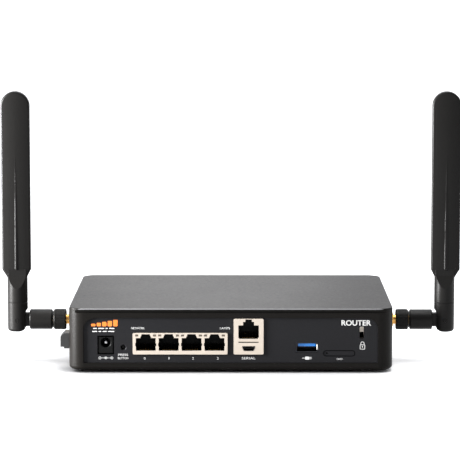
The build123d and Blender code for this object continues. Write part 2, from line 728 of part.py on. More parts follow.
with BuildPart() as port_lamps:
    with BuildSketch(facing_front(INSERT_Y - LAMP_PROUD)):
        with Locations(*lamp_places):
            Rectangle(LAMP_W, LAMP_H)
    extrude(amount=-LAMP_DEPTH)
keep(port_lamps, "port_lamps")


def console_opening():
    """Outline of the console plug's opening with its stepped latch slot."""
    steps = ((CONSOLE_PLUG_W, CONSOLE_PLUG_BOTTOM, CONSOLE_PLUG_TOP),
             (CONSOLE_STEP_W, CONSOLE_PLUG_TOP, CONSOLE_STEP_TOP),
             (CONSOLE_LATCH_W, CONSOLE_STEP_TOP, CONSOLE_LATCH_TOP))
    with BuildSketch(mode=Mode.PRIVATE) as opening:
        for width, low, high in steps:
            oblong(about(CONSOLE_X, width), (low, high))
        chamfer(opening.vertices().group_by(Axis.Y)[0], CONSOLE_PLUG_BEVEL)
    return opening.sketch


def micro_outline(shrink):
    """Outline of the micro socket, wide at the top, smaller all round by shrink."""
    half_w = MICRO_W / 2 - shrink
    low, high = shrunk(about(MICRO_Z, MICRO_H), shrink)
    with BuildSketch(mode=Mode.PRIVATE) as outline:
        with BuildLine():
            Polyline((CONSOLE_X - half_w, high), (CONSOLE_X + half_w, high),
                     (CONSOLE_X + half_w, high - MICRO_UPRIGHT), (CONSOLE_X + half_w - MICRO_SLOPE, low),
                     (CONSOLE_X - half_w + MICRO_SLOPE, low), (CONSOLE_X - half_w, high - MICRO_UPRIGHT),
                     close=True)
        make_face()
    return outline.sketch


with BuildPart() as console_jack_shell:
    jack_shell(CONSOLE_BLOCK_X, CONSOLE_BACK_Y, CONSOLE_BLOCK_Z)
    with BuildSketch(facing_front(SOCKET_FACE_Y)):
        add(console_opening())
        add(micro_outline(0))
        with Locations((CONSOLE_X, CONSOLE_BEAD_Z)):
            SlotOverall(CONSOLE_BEAD_W, CONSOLE_BEAD_H)
    extrude(amount=-SHEET, mode=Mode.SUBTRACT)
keep(console_jack_shell, "console_jack_shell")

with BuildPart() as console_jack_insert:
    block(shrunk(CONSOLE_BLOCK_X, SHEET), (INSERT_Y, CONSOLE_BACK_Y), shrunk(CONSOLE_BLOCK_Z, SHEET))
    with BuildSketch(facing_front(INSERT_Y)):
        add(console_opening())
    extrude(amount=-PLUG_DEPTH, mode=Mode.SUBTRACT)
    with BuildSketch(facing_front(INSERT_Y)):
        add(micro_outline(0))
    extrude(amount=-MICRO_ROOM, mode=Mode.SUBTRACT)
keep(console_jack_insert, "console_jack_insert")

console_contacts = make_contacts((CONSOLE_X,), CONSOLE_PLUG_BOTTOM)
keep(console_contacts, "console_contacts")

with BuildPart() as micro_socket_shell:
    with BuildSketch(facing_front(MICRO_FACE_Y)):
        add(micro_outline(0))
    extrude(amount=-MICRO_DEPTH)
    with BuildSketch(facing_front(MICRO_FACE_Y)):
        add(micro_outline(MICRO_SHEET))
    extrude(amount=MICRO_FACE_Y - MICRO_BACK_Y, mode=Mode.SUBTRACT)
keep(micro_socket_shell, "micro_socket_shell")

with BuildPart() as micro_socket_tongue:
    block(MICRO_TONGUE_X, (MICRO_BACK_Y - MICRO_TONGUE_L, MICRO_BACK_Y), MICRO_TONGUE_Z)
keep(micro_socket_tongue, "micro_socket_tongue")

with BuildPart() as usb_port_shell:
    block(USB_X, (USB_FACE_Y, USB_BACK_Y), USB_Z)
    block(shrunk(USB_X, SHEET), (USB_FACE_Y, USB_BACK_Y - USB_BACK_T), shrunk(USB_Z, SHEET),
          mode=Mode.SUBTRACT)
keep(usb_port_shell, "usb_port_shell")

with BuildPart() as usb_port_tongue:
    block(USB_TONGUE_X, USB_TONGUE_Y, USB_TONGUE_Z)
keep(usb_port_tongue, "usb_port_tongue")

with BuildPart() as usb_contacts:
    for x in USB_CONTACT_XS:
        block(about(x, USB_CONTACT_W), shrunk(USB_TONGUE_Y, USB_CONTACT_INSET),
              (USB_TONGUE_Z[0] - USB_CONTACT_T, USB_TONGUE_Z[0]))
keep(usb_contacts, "usb_contacts")

with BuildPart() as dc_jack_body:
    block(POWER_BODY_X, (POWER_STEP_Y, POWER_BACK_Y), (BOARD_TOP, POWER_TOP))
    block(shrunk(POWER_BODY_X, POWER_STEP), (POWER_FACE_Y, POWER_STEP_Y),
          shrunk((BOARD_TOP, POWER_TOP), POWER_STEP))
    rod(POWER_X, POWER_HOLE_Z, POWER_HOLE_R, (POWER_FACE_Y, POWER_HOLE_BACK_Y), mode=Mode.SUBTRACT)
    chamfer(dc_jack_body.faces().sort_by(Axis.Y)[0].edges().filter_by(GeomType.CIRCLE), POWER_HOLE_BEVEL)
keep(dc_jack_body, "dc_jack_body")

with BuildPart() as dc_jack_pin:
    rod(POWER_X, POWER_HOLE_Z, POWER_PIN_R, (POWER_PIN_FRONT_Y, POWER_HOLE_BACK_Y))
    fillet(dc_jack_pin.faces().sort_by(Axis.Y)[0].edges(), POWER_PIN_NOSE_R)
keep(dc_jack_pin, "dc_jack_pin")

with BuildPart() as reset_switch:
    block(RESET_SWITCH_X, RESET_SWITCH_Y, (BOARD_TOP, RESET_SWITCH_TOP))
    rod(RESET_X, RESET_Z, RESET_R + RUNNING, (RESET_SWITCH_Y[0], RESET_SWITCH_Y[0] + RESET_SWITCH_HOLE),
        mode=Mode.SUBTRACT)
keep(reset_switch, "reset_switch")

with BuildPart() as reset_plunger:
    rod(RESET_X, RESET_Z, RESET_R, (RESET_FACE_Y, RESET_BACK_Y))
    chamfer(reset_plunger.faces().sort_by(Axis.Y)[0].edges(), RESET_BEVEL)
keep(reset_plunger, "reset_plunger")

with BuildPart() as sim_reader:
    block(READER_X, READER_Y, (BOARD_TOP, READER_TOP))
    block(shrunk(CARD_PLATE_X, -SOCKET_GAP), (READER_Y[0], READER_Y[1] - READER_STOP_T), READER_SLOT_Z,
          mode=Mode.SUBTRACT)
keep(sim_reader, "sim_reader")

with BuildPart() as sim_tray:
    with BuildSketch(facing_front(TRAY_FACE_Y)):
        with Locations((TRAY_X, TRAY_Z)):
            SlotOverall(TRAY_HEAD_W, TRAY_HEAD_H)
    extrude(amount=-TRAY_HEAD_T)
    fillet(sim_tray.faces().sort_by(Axis.Y)[0].edges(), TRAY_HEAD_EDGE_R)
    block(CARD_PLATE_X, CARD_PLATE_Y, CARD_PLATE_Z)
    block(CARD_X, CARD_Y, (CARD_BOTTOM, CARD_PLATE_Z[1]), mode=Mode.SUBTRACT)
    block(shrunk(CARD_X, CARD_LEDGE), shrunk(CARD_Y, CARD_LEDGE), (CARD_PLATE_Z[0], CARD_BOTTOM),
          mode=Mode.SUBTRACT)
    rod(EJECT_X, TRAY_Z, EJECT_R, (TRAY_FACE_Y, CARD_PLATE_Y[0]), mode=Mode.SUBTRACT)
keep(sim_tray, "sim_tray")

lock_plate_y = (PANEL_BACK_Y, PANEL_BACK_Y + LOCK_PLATE_T)
with BuildPart() as lock_plate:
    block(LOCK_PLATE_X, lock_plate_y, LOCK_PLATE_Z)
    block(LOCK_X, lock_plate_y, (LOCK_Z[0], LOCK_PLATE_OPEN_TOP), mode=Mode.SUBTRACT)
keep(lock_plate, "lock_plate")

with BuildPart() as cord_clip:
    block(CLIP_ROOT_X, CLIP_ROOT_Y, CLIP_ROOT_Z)
    block(CLIP_TIP_X, CLIP_TIP_Y, CLIP_TIP_Z)
    chamfer(cord_clip.faces().sort_by(Axis.X)[0].edges().sort_by(Axis.Z)[-1], CLIP_BEVEL)
    # upright channel that grips the lead
    posts([(CLIP_TIP_X[0], CLIP_CHANNEL_Y)], CLIP_CHANNEL_R, CLIP_ROOT_Z, mode=Mode.SUBTRACT)
keep(cord_clip, "cord_clip")

# ======== Antenna jacks in the side walls ========

AERIAL_PLANE = Plane(origin=(0, AERIAL_Y, AERIAL_Z), x_dir=(1, 0, 0), z_dir=(0, -1, 0))
AERIAL_AXIS = Axis((0, AERIAL_Y, AERIAL_Z), (1, 0, 0))


def turn(*profile, mode=Mode.ADD):
    """Turn an (x, radius) profile about the antenna's axis, in the open part."""
    with BuildSketch(AERIAL_PLANE) as outline:
        with BuildLine():
            Polyline(*profile, close=True)
        make_face()
    revolve(outline.sketch, axis=AERIAL_AXIS, mode=mode)


def turn_ring(x_range, inner_r, outer_r, mode=Mode.ADD):
    """Turn a plain ring, or a disc where inner_r is 0."""
    turn((x_range[0], inner_r), (x_range[1], inner_r), (x_range[1], outer_r), (x_range[0], outer_r),
         mode=mode)


def hexagon(x_range):
    """Add to the open part a hexagonal flange about the antenna's axis."""
    with BuildSketch(Plane.YZ.offset(x_range[0])) as outline:
        with Locations((AERIAL_Y, AERIAL_Z)):
            RegularPolygon(JACK_NUT_FLATS / 2, 6, major_radius=False)
    extrude(outline.sketch, amount=x_range[1] - x_range[0])


with BuildPart() as antenna_jacks:
    turn_ring((JACK_BACK_X, INNER_WALL_X), 0, JACK_BACK_R)
    hexagon((INNER_WALL_X - JACK_FLANGE_T, INNER_WALL_X))
    turn_ring((INNER_WALL_X, JACK_RIM_X), 0, JACK_THREAD_R)
    turn_ring((JACK_BORE_X, JACK_RIM_X), 0, JACK_BORE_R, mode=Mode.SUBTRACT)
    mirror(about=Plane.YZ)
keep(antenna_jacks, "antenna_jacks")

with BuildPart() as jack_insulators:
    turn_ring((JACK_BORE_X, DIELECTRIC_END_X), 0, JACK_BORE_R)
    turn_ring((DIELECTRIC_END_X - DIELECTRIC_HOLE_L, DIELECTRIC_END_X), 0, DIELECTRIC_HOLE_R,
              mode=Mode.SUBTRACT)
    mirror(about=Plane.YZ)
keep(jack_insulators, "jack_insulators")

with BuildPart() as jack_washers:
    turn_ring((SIDE_X, JACK_NUT_X), JACK_THREAD_R, WASHER_R)
    mirror(about=Plane.YZ)
keep(jack_washers, "jack_washers")

jack_nut_x = (JACK_NUT_X, JACK_NUT_X + JACK_NUT_T)
with BuildPart() as jack_nuts:
    hexagon(jack_nut_x)
    turn_ring(jack_nut_x, 0, JACK_THREAD_R, mode=Mode.SUBTRACT)
    mirror(about=Plane.YZ)
keep(jack_nuts, "jack_nuts")


# ======== Antenna leads inside the case ========

def bend_radii(points):
    """One arc for each corner of a route, as large as its two runs allow."""
    radii = []
    for before, here, after in zip(points, points[1:], points[2:]):
        run_in = Vector(*here) - Vector(*before)
        run_out = Vector(*after) - Vector(*here)
        half_turn = math.radians(run_in.get_angle(run_out) / 2)
        radii.append(LEAD_ARC_SHARE * min(run_in.length, run_out.length) / math.tan(half_turn))
    return radii


for side, route in LEAD_BENDS.items():
    with BuildPart() as antenna_lead:
        with BuildLine() as path:
            FilletPolyline(*route, radius=bend_radii(route))
        with BuildSketch(Plane(origin=path.line @ 0, z_dir=path.line % 0)):
            Circle(LEAD_R)
        sweep(path=path.line)
    keep(antenna_lead, f"{side}_antenna_lead")

# ======== Antennas ========

with BuildPart() as antenna_stem:
    turn((STEM_START_X, STEM_BORE_R), (STEM_START_X, STEM_NOSE_R), (STEM_FLANGE_X[0], STEM_NOSE_R),
         (STEM_FLANGE_X[0], STEM_FLANGE_R), (STEM_FLANGE_X[1], STEM_FLANGE_R), (STEM_FLANGE_X[1], STEM_R),
         (STEM_HEAD_X[0], STEM_R), (STEM_HEAD_X[0], STEM_HEAD_R), (STEM_HEAD_X[1], STEM_HEAD_R),
         (STEM_HEAD_X[1], STEM_BORE_R))
keep_pair(antenna_stem, "antenna_stem")

with BuildPart() as centre_pin:
    turn((CENTRE_PIN_START_X, 0), (CENTRE_PIN_START_X, CENTRE_PIN_TIP_R),
         (CENTRE_PIN_START_X + CENTRE_PIN_TAPER, CENTRE_PIN_R), (STEM_START_X, CENTRE_PIN_R),
         (STEM_START_X, STEM_BORE_R), (STEM_HEAD_X[1], STEM_BORE_R), (STEM_HEAD_X[1], 0))
keep_pair(centre_pin, "centre_pin")

with BuildPart() as coupling_nut:
    turn((NUT_START_X, NUT_BORE_R), (NUT_START_X, NUT_R - NUT_BEVEL), (NUT_START_X + NUT_BEVEL, NUT_R),
         (NUT_END_X - NUT_BEVEL, NUT_R), (NUT_END_X, NUT_R - NUT_BEVEL), (NUT_END_X, STEM_R + RUNNING),
         (NUT_CAVITY_END_X, STEM_R + RUNNING), (NUT_CAVITY_END_X, NUT_CAVITY_R),
         (NUT_SHOULDER_X, NUT_CAVITY_R), (NUT_SHOULDER_X, NUT_BORE_R))
    # grip flutes along the nut
    flute_x = shrunk((NUT_START_X, NUT_END_X), FLUTE_MARGIN)
    with BuildSketch(Plane.YZ.offset(flute_x[0])):
        with Locations((AERIAL_Y, AERIAL_Z)):
            with PolarLocations(FLUTE_CENTRE_R, FLUTE_COUNT):
                Circle(FLUTE_R)
    extrude(amount=flute_x[1] - flute_x[0], mode=Mode.SUBTRACT)
keep_pair(coupling_nut, "coupling_nut")

with BuildPart() as swivel_barrel:
    turn((BARREL_COLLAR_X, 0), (BARREL_COLLAR_X, BARREL_COLLAR_R), (BARREL_START_X, BARREL_COLLAR_R),
         (BARREL_START_X, BARREL_R), (BARREL_END_X, BARREL_R), (BARREL_END_X, 0))
    rims = swivel_barrel.edges().filter_by(GeomType.CIRCLE)
    fillet(rims.filter_by(lambda rim: rim.radius > BARREL_COLLAR_R + RUNNING), BARREL_EDGE_R)
    # tongue that carries the hinge pin
    tongue_y = about(AERIAL_Y, TONGUE_T)
    block((BARREL_END_X - TONGUE_ROOT, PIN_X), tongue_y, about(AERIAL_Z, 2 * TONGUE_R))
    rod(PIN_X, AERIAL_Z, TONGUE_R, tongue_y)
    rod(PIN_X, AERIAL_Z, HINGE_HOLE_R, tongue_y, mode=Mode.SUBTRACT)
    # bore that turns on the stem, and the room for the stem's head
    turn_ring((BARREL_COLLAR_X, HEAD_ROOM_X[0]), 0, STEM_R + RUNNING, mode=Mode.SUBTRACT)
    turn_ring(HEAD_ROOM_X, 0, HEAD_ROOM_R, mode=Mode.SUBTRACT)
keep_pair(swivel_barrel, "swivel_barrel")

tube_y = about(AERIAL_Y, 2 * TUBE_R)
with BuildPart() as hinge_pin:
    rod(PIN_X, AERIAL_Z, HINGE_PIN_R, shrunk(tube_y, HINGE_PIN_SUNK))
    chamfer(hinge_pin.edges().filter_by(GeomType.CIRCLE), HINGE_PIN_BEVEL)
keep_pair(hinge_pin, "hinge_pin")

knuckle_bottom = AERIAL_Z - KNUCKLE_REACH
outside_x = PIN_X - TUBE_R - CUT_MARGIN
below_z = knuckle_bottom - CUT_MARGIN
with BuildPart() as knuckle:
    posts([(PIN_X, AERIAL_Y)], TUBE_R, (knuckle_bottom, SEAM_Z))
    fillet(knuckle.faces().sort_by(Axis.Z)[0].edges(), KNUCKLE_BOTTOM_R)
    chamfer(knuckle.faces().sort_by(Axis.Z)[-1].edges(), SEAM_BEVEL)
    # the inner lower corner is rounded about the pin, so that it swings past the barrel
    with BuildSketch(facing_front(AERIAL_Y)):
        oblong((outside_x, PIN_X), (below_z, AERIAL_Z))
        with Locations((PIN_X, AERIAL_Z)):
            Circle(KNUCKLE_REACH, mode=Mode.SUBTRACT)
    extrude(amount=TUBE_R + CUT_MARGIN, both=True, mode=Mode.SUBTRACT)
    # flat towards the barrel, sloping out to the full round above it
    with BuildSketch(facing_front(AERIAL_Y)):
        with BuildLine():
            Polyline((outside_x, below_z), (PIN_X - KNUCKLE_FLAT, below_z),
                     (PIN_X - KNUCKLE_FLAT, KNUCKLE_SLOPE_Z[0]),
                     (PIN_X - KNUCKLE_SLOPE_OUT, KNUCKLE_SLOPE_Z[1]), (outside_x, KNUCKLE_SLOPE_Z[1]),
                     close=True)
        make_face()
    extrude(amount=TUBE_R + CUT_MARGIN, both=True, mode=Mode.SUBTRACT)
    # slot for the tongue, open towards the barrel and below
    slot_r = TONGUE_R + SLOT_SIDE_GAP
    with BuildSketch(facing_front(AERIAL_Y)):
        with Locations((PIN_X, AERIAL_Z)):
            Circle(slot_r)
        oblong((outside_x, PIN_X), (below_z, AERIAL_Z + slot_r))
        oblong((PIN_X, PIN_X + slot_r), (below_z, AERIAL_Z))
    extrude(amount=TONGUE_T / 2 + SLOT_SIDE_GAP, both=True, mode=Mode.SUBTRACT)
    rod(PIN_X, AERIAL_Z, HINGE_PIN_R, tube_y, mode=Mode.SUBTRACT)
    # spigot that plugs into the blade
    posts([(PIN_X, AERIAL_Y)], SPIGOT_R, (SEAM_Z, SEAM_Z + SPIGOT_H))
keep_pair(knuckle, "knuckle")

blade_x = about(BLADE_X, BLADE_W)
tip_centre_z = BLADE_TIP_Z - BLADE_W / 2
crown_rise = (BLADE_MID_T - BLADE_EDGE_T) / 2
crown_r = ((BLADE_W / 2) ** 2 + crown_rise ** 2) / (2 * crown_rise)
with BuildPart() as antenna_blade:
    # flat paddle with a round tip
    with BuildSketch(facing_front(AERIAL_Y)):
        with BuildLine():
            Polyline((PIN_X - BLADE_START_HALF_W, BLADE_START_Z), (PIN_X - SHOULDER_HALF_W, SHOULDER_Z),
                     (blade_x[0], FULL_WIDTH_Z), (blade_x[0], tip_centre_z))
            ThreePointArc((blade_x[0], tip_centre_z), (BLADE_X, BLADE_TIP_Z), (blade_x[1], tip_centre_z))
            Polyline((blade_x[1], tip_centre_z), (blade_x[1], FULL_WIDTH_Z),
                     (PIN_X + SHOULDER_HALF_W, SHOULDER_Z), (PIN_X + BLADE_START_HALF_W, BLADE_START_Z),
                     (PIN_X - BLADE_START_HALF_W, BLADE_START_Z))
        make_face()
    extrude(amount=BLADE_MID_T, both=True)
    # both faces are gently crowned
    with BuildSketch(Plane.XY.offset(HEEL_Z)):
        with Locations((BLADE_X, AERIAL_Y + crown_r - BLADE_MID_T / 2)):
            Circle(crown_r)
        with Locations((BLADE_X, AERIAL_Y - crown_r + BLADE_MID_T / 2)):
            Circle(crown_r, mode=Mode.INTERSECT)
    extrude(amount=BLADE_TIP_Z, mode=Mode.INTERSECT)
    rim = antenna_blade.faces().filter_by(lambda face: abs(face.normal_at().Y) < 0.05).edges()
    fillet(rim.filter_by(Axis.Y, reverse=True).filter_by(lambda edge: edge.center().Z > SHOULDER_Z - 2),
           BLADE_EDGE_R)
    # round collar, cut by two slopes that run up into the paddle's faces
    posts([(PIN_X, AERIAL_Y)], TUBE_R, (SEAM_Z, FULL_WIDTH_Z))
    chamfer(antenna_blade.faces().sort_by(Axis.Z)[0].edges(), SEAM_BEVEL)
    with BuildSketch(Plane.YZ.offset(PIN_X)):
        for side in (-1, 1):
            slope_y = AERIAL_Y + side * (BLADE_MID_T / 2 - HEEL_SLOPE_SUNK)
            outer_y = AERIAL_Y + side * (TUBE_R + CUT_MARGIN)
            with BuildLine():
                Polyline((AERIAL_Y + side * TUBE_R, HEEL_Z), (slope_y, HEEL_SLOPE_TOP_Z),
                         (slope_y, FULL_WIDTH_Z), (outer_y, FULL_WIDTH_Z), (outer_y, HEEL_Z), close=True)
            make_face()
    extrude(amount=TUBE_R + SEAM_BEVEL, both=True, mode=Mode.SUBTRACT)
    # centre rib on both faces, fading out towards the tip
    rib_depth = BLADE_MID_T / 2 - RIB_R + RIB_PROUD
    for side in (-1, 1):
        with Locations((BLADE_X, AERIAL_Y + side * rib_depth, RIB_BOTTOM_Z)):
            Cone(RIB_R, RIB_TOP_R, RIB_TOP_Z - RIB_BOTTOM_Z, align=(Align.CENTER, Align.CENTER, Align.MIN))
            Sphere(RIB_R)
    # hollow for the radiator, and the socket for the knuckle's spigot
    block(about(BLADE_X, RADIATOR_W + 2 * RADIATOR_GAP), about(AERIAL_Y, RADIATOR_T + 2 * RADIATOR_GAP),
          (RADIATOR_Z[0], RADIATOR_Z[1] + RADIATOR_ROOM_ABOVE), mode=Mode.SUBTRACT)
    posts([(PIN_X, AERIAL_Y)], SPIGOT_R, (SEAM_Z, SEAM_Z + SPIGOT_H), mode=Mode.SUBTRACT)
keep_pair(antenna_blade, "antenna_blade")

with BuildPart() as radiator:
    block(about(BLADE_X, RADIATOR_W), about(AERIAL_Y, RADIATOR_T), RADIATOR_Z)
keep_pair(radiator, "radiator")
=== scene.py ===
import json
import math

import bmesh
import bpy
from mathutils import Matrix, Vector


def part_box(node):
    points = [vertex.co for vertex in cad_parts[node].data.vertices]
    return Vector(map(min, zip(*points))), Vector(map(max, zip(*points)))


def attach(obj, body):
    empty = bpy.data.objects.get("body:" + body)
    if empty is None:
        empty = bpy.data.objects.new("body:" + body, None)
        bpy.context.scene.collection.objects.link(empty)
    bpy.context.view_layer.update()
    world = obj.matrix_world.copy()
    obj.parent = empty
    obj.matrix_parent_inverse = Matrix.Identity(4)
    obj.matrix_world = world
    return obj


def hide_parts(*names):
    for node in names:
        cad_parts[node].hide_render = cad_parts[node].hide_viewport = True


# Desktop network router with a hinged paddle antenna on each side.
# Metres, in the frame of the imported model: +X right along the sockets, +Y back, +Z up.

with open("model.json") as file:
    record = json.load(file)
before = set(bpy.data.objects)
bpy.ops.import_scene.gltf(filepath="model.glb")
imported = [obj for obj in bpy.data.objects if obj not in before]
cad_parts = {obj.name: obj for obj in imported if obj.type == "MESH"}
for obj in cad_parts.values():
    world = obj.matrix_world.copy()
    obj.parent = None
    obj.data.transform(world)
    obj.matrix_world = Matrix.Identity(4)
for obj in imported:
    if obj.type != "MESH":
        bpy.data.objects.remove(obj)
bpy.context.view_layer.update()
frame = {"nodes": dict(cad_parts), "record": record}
MM = 0.001
FULL_TURN = 2 * math.pi


# ======== Camera, light and floor ========

CAMERA_AT = Vector((0.0043, -1.5082, 0.2615))
CAMERA_DOWN = math.radians(6.875)
CAMERA_TURN = 0.0033
CAMERA_LENS = 184.7
CAMERA_SENSOR = 36.0
CAMERA_CLIP = (0.05, 200.0)

# Each light's place, the point that it faces, its width and height, and its power in watts.
LIGHTS = {
    "softbox_left": ((-0.66, -0.16, 0.16), (-0.05, -0.05, 0.08), (0.25, 0.28), 46.0),
    "overhead": ((0.15, -0.02, 1.3), (0.05, -0.05, 0.0), (1.0, 0.6), 12.0),
    "strip_behind": ((-0.035, 1.0, 0.34), (-0.02, 0.0, 0.04), (0.25, 0.2), 0.3),
}

# The surroundings' strength in front of the socket panel and behind it, and how many times
# that it is overhead. The pairs are where a direction's Y and Z start and end the change.
WORLD_COLOUR = (0.972, 0.978, 1.0, 1.0)
WORLD_FRONT = 0.25
WORLD_BACK = 0.88
WORLD_ABOVE = 2.7
FRONT_TO_BACK = (-0.45, 0.1)
LEVEL_TO_ABOVE = (0.2, 0.6)

FLOOR_HALF = 60.0
FLOOR_TONES = (0.92, 0.94)


def add_camera():
    lens = bpy.data.cameras.new("camera")
    lens.lens = CAMERA_LENS
    lens.sensor_width = CAMERA_SENSOR
    lens.clip_start, lens.clip_end = CAMERA_CLIP
    camera = bpy.data.objects.new("camera", lens)
    camera.location = CAMERA_AT
    camera.rotation_euler = (math.pi / 2 - CAMERA_DOWN, 0.0, CAMERA_TURN)
    bpy.context.scene.collection.objects.link(camera)
    bpy.context.scene.camera = camera


def add_area_light(name, place, aim, size, power):
    lamp = bpy.data.lights.new(name, "AREA")
    lamp.shape = "RECTANGLE"
    lamp.size, lamp.size_y = size
    lamp.energy = power
    light = bpy.data.objects.new(name, lamp)
    light.location = place
    light.rotation_euler = (Vector(aim) - Vector(place)).to_track_quat("-Z", "Y").to_euler()
    bpy.context.scene.collection.objects.link(light)
    return light


def keep_off(light, thing):
    """A flag between a light and one object: the light doesn't fall on it."""
    flagged = bpy.data.collections.new(light.name + "_flag")
    flagged.objects.link(thing)
    flagged.collection_objects[0].light_linking.link_state = "EXCLUDE"
    light.light_linking.receiver_collection = flagged


def add_world():
    """White surroundings: dim in front of the socket panel, bright behind, brightest overhead."""
    world = bpy.data.worlds.new("studio")
    world.use_nodes = True
    bpy.context.scene.world = world
    tree = world.node_tree
    direction = Signal(tree).node("ShaderNodeTexCoord", {}, output="Generated")
    behind = direction.part("Y").ramp(*FRONT_TO_BACK, WORLD_FRONT, WORLD_BACK)
    above = direction.part("Z").ramp(*LEVEL_TO_ABOVE, 1.0, WORLD_ABOVE)
    background = tree.nodes["Background"]
    tree.links.new((behind * above).socket, background.inputs["Strength"])
    background.inputs["Color"].default_value = WORLD_COLOUR


def add_floor():
    """Plain white ground, wide enough to have no edge in view."""
    shape = bmesh.new()
    bmesh.ops.create_grid(shape, x_segments=1, y_segments=1, size=FLOOR_HALF)
    mesh = bpy.data.meshes.new("floor")
    shape.to_mesh(mesh)
    shape.free()
    material, shader, place = new_finish("floor_white")
    cloud = noise(place, 0.4)
    tones = [grey(tone) for tone in FLOOR_TONES]
    feed(shader, place, blend_colours(cloud, *tones), cloud * 0.05 + 0.85)
    mesh.materials.append(material)
    floor = bpy.data.objects.new("floor", mesh)
    bpy.context.scene.collection.objects.link(floor)
    return floor


# ======== Materials ========

class Signal:
    """An output socket of a node tree. Arithmetic on it adds Math nodes."""

    def __init__(self, tree, socket=None):
        self.tree = tree
        self.socket = socket

    def node(self, kind, sockets, output=0, **settings):
        """Add a node: its settings first, then the value or the link of each socket."""
        made = self.tree.nodes.new(kind)
        for name, value in settings.items():
            setattr(made, name, value)
        for name, value in sockets.items():
            if isinstance(value, Signal):
                self.tree.links.new(value.socket, made.inputs[name])
            else:
                made.inputs[name].default_value = value
        return Signal(self.tree, made.outputs[output])

    def part(self, axis):
        """The X, Y or Z of a vector."""
        return self.node("ShaderNodeSeparateXYZ", {"Vector": self}, output=axis)

    def ramp(self, start, end, low=0.0, high=1.0):
        """Go from low to high as this value goes from start to end."""
        return self.node("ShaderNodeMapRange", {"Value": self, "From Min": start, "From Max": end,
                                                "To Min": low, "To Max": high})

    def maths(self, operation, second=0.0):
        return self.node("ShaderNodeMath", {0: self, 1: second}, operation=operation)

    def __add__(self, other):
        return self.maths("ADD", other)

    __radd__ = __add__

    def __sub__(self, other):
        return self.maths("SUBTRACT", other)

    def __rsub__(self, other):
        return self * -1.0 + other

    def __mul__(self, other):
        return self.maths("MULTIPLY", other)

    __rmul__ = __mul__


def grey(value):
    return (value, value, value)


def shades(colour, amount):
    """A darker and a lighter shade of a colour."""
    return [c * (1 - amount) for c in colour], [c * (1 + amount) for c in colour]


def noise(place, size, detail=2.0, roughness=0.5):
    """Noise whose blobs are about size metres across, from 0 to 1."""
    return place.node("ShaderNodeTexNoise", {"Vector": place, "Scale": 1.0 / size,
                                             "Detail": detail, "Roughness": roughness})


def blend_colours(amount, low, high):
    """Colour that goes from low to high as amount goes from 0 to 1; either end may be a signal."""
    ends = [end if isinstance(end, Signal) else (*end, 1.0) for end in (low, high)]
    return amount.node("ShaderNodeMix", {0: amount, 6: ends[0], 7: ends[1]}, output=2,
                       data_type="RGBA")


def new_finish(name, metallic=0.0, specular=0.5, coat=0.0):
    """A material with its shader and the object's own coordinates."""
    material = bpy.data.materials.new(name)
    material.use_nodes = True
    tree = material.node_tree
    shader = tree.nodes["Principled BSDF"]
    shader.inputs["Metallic"].default_value = metallic
    shader.inputs["Specular IOR Level"].default_value = specular
    shader.inputs["Coat Weight"].default_value = coat
    shader.inputs["Coat Roughness"].default_value = COAT_ROUGHNESS
    place = Signal(tree).node("ShaderNodeTexCoord", {}, output="Object")
    return material, shader, place


def feed(shader, place, colour=None, roughness=None, height=None, height_m=0.0):
    """Link a finish's varying colour and roughness, and the bump of its surface."""
    tree = place.tree
    if colour is not None:
        tree.links.new(colour.socket, shader.inputs["Base Color"])
    if roughness is not None:
        tree.links.new(roughness.socket, shader.inputs["Roughness"])
    if height is not None:
        bump = place.node("ShaderNodeBump", {"Height": height, "Distance": height_m,
                                             "Strength": 1.0}, output="Normal")
        tree.links.new(bump.socket, shader.inputs["Normal"])


def moulded(name, colour, roughness, grain=0.0006, grain_height=0.00002, specular=0.5, coat=0.0):
    """Moulded plastic: fine spark texture, faint mottling and a little wear in the gloss."""
    material, shader, place = new_finish(name, specular=specular, coat=coat)
    patches = noise(place, 0.035, detail=3.0)
    speckle = noise(place, grain, detail=1.0)
    tint = patches * 0.5 + speckle * 0.5
    gloss = patches * 0.08 + speckle * 0.06 + (roughness - 0.07)
    feed(shader, place, blend_colours(tint, *shades(colour, 0.2)), gloss, speckle, grain_height)
    return material


def powder_coat(name, colour, roughness, specular):
    """Fine powder coat of the case: grain, and a painted highlight along the lid's upper edge."""
    material, shader, place = new_finish(name, specular=specular)
    patches = noise(place, 0.05, detail=3.0)
    grain = noise(place, POWDER_GRAIN, roughness=0.7)
    peel = noise(place, POWDER_PEEL, roughness=0.6)
    # Painted highlight: a pale band along the lid's outline at its top stands in for light caught
    # on the rounded edge.
    from_side = place.part("X").maths("ABSOLUTE") - CASE_HALF_W
    from_end = place.part("Y").maths("ABSOLUTE") - CASE_HALF_D
    outside = from_side.maths("MAXIMUM", from_end).ramp(*EDGE_HIGHLIGHT_IN)
    upper = place.part("Z").ramp(*(CASE_TOP + depth for depth in EDGE_HIGHLIGHT_DOWN))
    edge_highlight = outside * upper * (patches * 0.4 + 0.6)
    base = blend_colours(grain * 0.6 + patches * 0.4, *shades(colour, 0.3))
    toned_colour = blend_colours(edge_highlight, base, EDGE_HIGHLIGHT_PAINT)
    gloss = patches * 0.06 + grain * 0.08 + peel * 0.12 + (roughness - 0.13)
    feed(shader, place, toned_colour, gloss, grain + peel, POWDER_HEIGHT)
    return material


def plated(name, colour, roughness, metallic=1.0, brushed=(1.0, 1.0, 1.0)):
    """Plated or turned metal with fine tool marks, finer along an axis where brushed is larger."""
    material, shader, place = new_finish(name, metallic=metallic)
    stretched = place.node("ShaderNodeVectorMath", {0: place, 1: brushed}, operation="MULTIPLY")
    marks = noise(stretched, TOOL_MARK_SIZE, detail=3.0, roughness=0.6)
    patches = noise(place, 0.006)
    dull = [c * 0.86 for c in colour]
    gloss = marks * 0.12 + patches * 0.08 + (roughness - 0.10)
    feed(shader, place, blend_colours(patches, dull, colour), gloss, marks, TOOL_MARK_HEIGHT)
    return material


